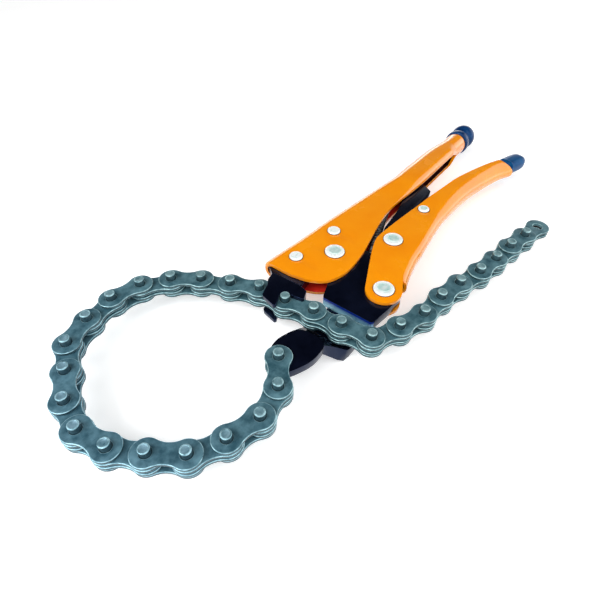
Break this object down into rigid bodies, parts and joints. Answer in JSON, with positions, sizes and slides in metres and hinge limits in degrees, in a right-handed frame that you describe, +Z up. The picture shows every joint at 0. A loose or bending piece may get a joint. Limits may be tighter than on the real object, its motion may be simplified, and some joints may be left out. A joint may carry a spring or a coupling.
{
  "type": "chain_clamp",
  "caption": "Locking toggle pliers whose jaws end in a notched fork and a nose that carries a long roller chain, for gripping round work.",
  "frame": {"origin": "centre of the flat underside of the nose's neck, on which the tool stands", "axes": "+X along the upper handle towards its knob, +Y from the lower handle towards the back of the upper handle, +Z up along the pins and rivets"},
  "size_m": [0.3463, 0.1665, 0.023],
  "materials": {
    "orange_paint": "gloss enamel",
    "black_steel": "glossy black coating",
    "chain_steel": "oiled grey-green steel",
    "bright_zinc": "bright zinc plate",
    "blue_dip": "dark blue dipped vinyl",
    "spring_steel": "dark spring wire"
  },
  "bodies": {
    "upper_assembly": {"upper_handle": "orange_paint", "fixed_jaw": "black_steel", "fixed_jaw_rivet_front": "bright_zinc", "fixed_jaw_rivet_rear": "bright_zinc", "main_pivot_rivet": "bright_zinc", "return_spring": "spring_steel"},
    "jaw_assembly": {"movable_jaw": "black_steel", "jaw_nose": "black_steel", "handle_pivot_rivet": "bright_zinc"},
    "lower_handle_assembly": {"lower_handle": "orange_paint", "toggle_rivet": "bright_zinc", "lever_rivet": "bright_zinc"},
    "toggle": {"toggle_link": "black_steel"},
    "lever": {"release_lever": "black_steel", "lever_grip": "blue_dip"},
    "screw": {"adjusting_screw": "bright_zinc"},
    "screw_knob": {"knob": "blue_dip"},
    "outer_link_01_body": {"outer_link_01": "chain_steel"},
    "inner_link_01_body": {"inner_link_01": "chain_steel"},
    "outer_link_02_body": {"outer_link_02": "chain_steel"},
    "inner_link_02_body": {"inner_link_02": "chain_steel"},
    "outer_link_03_body": {"outer_link_03": "chain_steel"},
    "inner_link_03_body": {"inner_link_03": "chain_steel"},
    "outer_link_04_body": {"outer_link_04": "chain_steel"},
    "inner_link_04_body": {"inner_link_04": "chain_steel"},
    "outer_link_05_body": {"outer_link_05": "chain_steel"},
    "inner_link_05_body": {"inner_link_05": "chain_steel"},
    "outer_link_06_body": {"outer_link_06": "chain_steel"},
    "inner_link_06_body": {"inner_link_06": "chain_steel"},
    "outer_link_07_body": {"outer_link_07": "chain_steel"},
    "inner_link_07_body": {"inner_link_07": "chain_steel"},
    "outer_link_08_body": {"outer_link_08": "chain_steel"},
    "inner_link_08_body": {"inner_link_08": "chain_steel"},
    "outer_link_09_body": {"outer_link_09": "chain_steel"},
    "inner_link_09_body": {"inner_link_09": "chain_steel"},
    "outer_link_10_body": {"outer_link_10": "chain_steel"},
    "inner_link_10_body": {"inner_link_10": "chain_steel"},
    "outer_link_11_body": {"outer_link_11": "chain_steel"},
    "inner_link_11_body": {"inner_link_11": "chain_steel"},
    "outer_link_12_body": {"outer_link_12": "chain_steel"},
    "inner_link_12_body": {"inner_link_12": "chain_steel"},
    "outer_link_13_body": {"outer_link_13": "chain_steel"},
    "inner_link_13_body": {"inner_link_13": "chain_steel"},
    "outer_link_14_body": {"outer_link_14": "chain_steel"},
    "inner_link_14_body": {"inner_link_14": "chain_steel"},
    "outer_link_15_body": {"outer_link_15": "chain_steel"},
    "inner_link_15_body": {"inner_link_15": "chain_steel"}
  },
  "joints": [
    {"name": "jaw_pivot", "type": "hinge", "parent": "upper_assembly", "child": "jaw_assembly", "pos_m": [0.041, 0.0283, 0.0142], "axis": [0, 0, 1], "range_deg": [0, 12], "deforming": ["return_spring"]},
    {"name": "handle_pivot", "type": "hinge", "parent": "jaw_assembly", "child": "lower_handle_assembly", "pos_m": [0.0317, -0.0083, 0.0142], "axis": [0, 0, 1], "range_deg": [-41, 0.5]},
    {"name": "toggle_pivot", "type": "hinge", "parent": "lower_handle_assembly", "child": "toggle", "pos_m": [0.0704, 0.0076, 0.0142], "axis": [0, 0, 1], "range_deg": [-0.5, 49]},
    {"name": "lever_pivot", "type": "hinge", "parent": "lower_handle_assembly", "child": "lever", "pos_m": [0.1083, 0.007, 0.0142], "axis": [0, 0, 1], "range_deg": [-2.5, 4]},
    {"name": "screw_travel", "type": "slide", "parent": "upper_assembly", "child": "screw", "axis": [1, 0, 0], "range_m": [0, 0.006]},
    {"name": "knob_turn", "type": "hinge", "parent": "screw", "child": "screw_knob", "pos_m": [0.215, 0.0293, 0.0142], "axis": [1, 0, 0], "range_deg": [-10, 1450]},
    {"name": "chain_pin_01", "type": "hinge", "parent": "jaw_assembly", "child": "outer_link_01_body", "pos_m": [-0.0337, 0.0086, 0.0142], "axis": [0, 0, 1], "range_deg": [-7, 1]},
    {"name": "chain_pin_02", "type": "hinge", "parent": "outer_link_01_body", "child": "inner_link_01_body", "pos_m": [-0.04623, -0.00115, 0.0142], "axis": [0, 0, 1], "range_deg": [-5, 1]},
    {"name": "chain_pin_03", "type": "hinge", "parent": "inner_link_01_body", "child": "outer_link_02_body", "pos_m": [-0.06179, -0.00429, 0.0142], "axis": [0, 0, 1], "range_deg": [-3, 1]},
    {"name": "chain_pin_04", "type": "hinge", "parent": "outer_link_02_body", "child": "inner_link_02_body", "pos_m": [-0.07712, -0.00015, 0.0142], "axis": [0, 0, 1], "range_deg": [-1, 1]},
    {"name": "chain_pin_05", "type": "hinge", "parent": "inner_link_02_body", "child": "outer_link_03_body", "pos_m": [-0.09099, 0.00757, 0.0142], "axis": [0, 0, 1], "range_deg": [-1, 3]},
    {"name": "chain_pin_06", "type": "hinge", "parent": "outer_link_03_body", "child": "inner_link_03_body", "pos_m": [-0.10018, 0.02051, 0.0142], "axis": [0, 0, 1], "range_deg": [-1, 3]},
    {"name": "chain_pin_07", "type": "hinge", "parent": "inner_link_03_body", "child": "outer_link_04_body", "pos_m": [-0.10773, 0.03447, 0.0142], "axis": [0, 0, 1], "range_deg": [-1, 3]},
    {"name": "chain_pin_08", "type": "hinge", "parent": "outer_link_04_body", "child": "inner_link_04_body", "pos_m": [-0.11019, 0.05015, 0.0142], "axis": [0, 0, 1], "range_deg": [-1, 3]},
    {"name": "chain_pin_10", "type": "hinge", "parent": "inner_link_05_body", "child": "outer_link_05_body", "pos_m": [-0.09626, 0.07827, 0.0142], "axis": [0, 0, 1], "range_deg": [-2, 1]},
    {"name": "chain_pin_11", "type": "hinge", "parent": "outer_link_06_body", "child": "inner_link_05_body", "pos_m": [-0.08691, 0.0911, 0.0142], "axis": [0, 0, 1], "range_deg": [-2, 1]},
    {"name": "chain_pin_12", "type": "hinge", "parent": "inner_link_06_body", "child": "outer_link_06_body", "pos_m": [-0.07198, 0.0965, 0.0142], "axis": [0, 0, 1], "range_deg": [-1, 1]},
    {"name": "chain_pin_13", "type": "hinge", "parent": "outer_link_07_body", "child": "inner_link_06_body", "pos_m": [-0.05624, 0.09855, 0.0142], "axis": [0, 0, 1], "range_deg": [-1, 1]},
    {"name": "chain_pin_14", "type": "hinge", "parent": "inner_link_07_body", "child": "outer_link_07_body", "pos_m": [-0.04075, 0.09509, 0.0142], "axis": [0, 0, 1], "range_deg": [-1, 2]},
    {"name": "chain_pin_15", "type": "hinge", "parent": "outer_link_08_body", "child": "inner_link_07_body", "pos_m": [-0.02808, 0.08551, 0.0142], "axis": [0, 0, 1], "range_deg": [-1, 3]},
    {"name": "chain_pin_16", "type": "hinge", "parent": "inner_link_08_body", "child": "outer_link_08_body", "pos_m": [-0.01855, 0.07282, 0.0142], "axis": [0, 0, 1], "range_deg": [-1, 3]},
    {"name": "chain_pin_17", "type": "hinge", "parent": "outer_link_09_body", "child": "inner_link_08_body", "pos_m": [-0.01174, 0.05848, 0.0142], "axis": [0, 0, 1], "range_deg": [-1, 3]},
    {"name": "chain_pin_18", "type": "hinge", "parent": "inner_link_09_body", "child": "outer_link_09_body", "pos_m": [-0.0053, 0.04397, 0.0142], "axis": [0, 0, 1], "range_deg": [-1, 3]},
    {"name": "chain_pin_19", "type": "hinge", "parent": "upper_assembly", "child": "inner_link_09_body", "pos_m": [-0.00405, 0.02814, 0.0142], "axis": [0, 0, 1], "range_deg": [-1, 2]},
    {"name": "tail_root", "type": "hinge", "parent": "upper_assembly", "child": "outer_link_10_body", "pos_m": [-0.00405, 0.02814, 0.0142], "axis": [0, 0, 1], "range_deg": [-1, 8]},
    {"name": "chain_pin_20", "type": "hinge", "parent": "outer_link_10_body", "child": "inner_link_10_body", "pos_m": [-0.00116, 0.01253, 0.0142], "axis": [0, 0, 1], "range_deg": [-1, 4]},
    {"name": "chain_pin_21", "type": "hinge", "parent": "inner_link_10_body", "child": "outer_link_11_body", "pos_m": [-0.00047, -0.00333, 0.0142], "axis": [0, 0, 1], "range_deg": [-5, 1]},
    {"name": "chain_pin_22", "type": "hinge", "parent": "outer_link_11_body", "child": "inner_link_11_body", "pos_m": [0.00161, -0.01907, 0.0142], "axis": [0, 0, 1], "range_deg": [-23, 1]},
    {"name": "chain_pin_23", "type": "hinge", "parent": "inner_link_11_body", "child": "outer_link_12_body", "pos_m": [0.01569, -0.0264, 0.0142], "axis": [0, 0, 1], "range_deg": [-18, 1]},
    {"name": "chain_pin_24", "type": "hinge", "parent": "outer_link_12_body", "child": "inner_link_12_body", "pos_m": [0.03056, -0.03196, 0.0142], "axis": [0, 0, 1], "range_deg": [-10, 8]},
    {"name": "chain_pin_25", "type": "hinge", "parent": "inner_link_12_body", "child": "outer_link_13_body", "pos_m": [0.04633, -0.03376, 0.0142], "axis": [0, 0, -1], "range_deg": [-8, 12]},
    {"name": "chain_pin_26", "type": "hinge", "parent": "outer_link_13_body", "child": "inner_link_13_body", "pos_m": [0.06183, -0.03719, 0.0142], "axis": [0, 0, 1], "range_deg": [-20, 14]},
    {"name": "chain_pin_27", "type": "hinge", "parent": "inner_link_13_body", "child": "outer_link_14_body", "pos_m": [0.07693, -0.0421, 0.0142], "axis": [0, 0, -1], "range_deg": [-14, 20]},
    {"name": "chain_pin_28", "type": "hinge", "parent": "outer_link_14_body", "child": "inner_link_14_body", "pos_m": [0.09248, -0.04526, 0.0142], "axis": [0, 0, 1], "range_deg": [-35, 35]},
    {"name": "chain_pin_29", "type": "hinge", "parent": "inner_link_14_body", "child": "outer_link_15_body", "pos_m": [0.10814, -0.04788, 0.0142], "axis": [0, 0, -1], "range_deg": [-35, 35]},
    {"name": "chain_pin_30", "type": "hinge", "parent": "outer_link_15_body", "child": "inner_link_15_body", "pos_m": [0.12367, -0.05118, 0.0142], "axis": [0, 0, 1], "range_deg": [-50, 50]}
  ],
  "couplings": [
    {"joint": "handle_pivot", "follows": "jaw_pivot", "ratio": -3.4},
    {"joint": "toggle_pivot", "follows": "jaw_pivot", "ratio": 4.035},
    {"joint": "knob_turn", "follows": "screw_travel", "rad_per_m": 4188.8},
    {"joint": "chain_pin_01", "follows": "jaw_pivot", "ratio": -0.4933},
    {"joint": "chain_pin_02", "follows": "jaw_pivot", "ratio": -0.3571},
    {"joint": "chain_pin_03", "follows": "jaw_pivot", "ratio": -0.1505},
    {"joint": "chain_pin_04", "follows": "jaw_pivot", "ratio": 0.0335},
    {"joint": "chain_pin_05", "follows": "jaw_pivot", "ratio": 0.1552},
    {"joint": "chain_pin_06", "follows": "jaw_pivot", "ratio": 0.1956},
    {"joint": "chain_pin_07", "follows": "jaw_pivot", "ratio": 0.1964},
    {"joint": "chain_pin_08", "follows": "jaw_pivot", "ratio": 0.1675},
    {"joint": "chain_pin_10", "follows": "jaw_pivot", "ratio": -0.0825},
    {"joint": "chain_pin_11", "follows": "jaw_pivot", "ratio": -0.0493},
    {"joint": "chain_pin_12", "follows": "jaw_pivot", "ratio": -0.009},
    {"joint": "chain_pin_13", "follows": "jaw_pivot", "ratio": 0.0399},
    {"joint": "chain_pin_14", "follows": "jaw_pivot", "ratio": 0.0992},
    {"joint": "chain_pin_15", "follows": "jaw_pivot", "ratio": 0.1583},
    {"joint": "chain_pin_16", "follows": "jaw_pivot", "ratio": 0.1989},
    {"joint": "chain_pin_17", "follows": "jaw_pivot", "ratio": 0.2083},
    {"joint": "chain_pin_18", "follows": "jaw_pivot", "ratio": 0.1975},
    {"joint": "chain_pin_19", "follows": "jaw_pivot", "ratio": 0.1097},
    {"joint": "tail_root", "follows": "jaw_pivot", "ratio": 0.61},
    {"joint": "chain_pin_20", "follows": "jaw_pivot", "ratio": 0.25},
    {"joint": "chain_pin_21", "follows": "jaw_pivot", "ratio": -0.35},
    {"joint": "chain_pin_22", "follows": "jaw_pivot", "ratio": -1.8},
    {"joint": "chain_pin_23", "follows": "jaw_pivot", "ratio": -1.4}
  ]
}
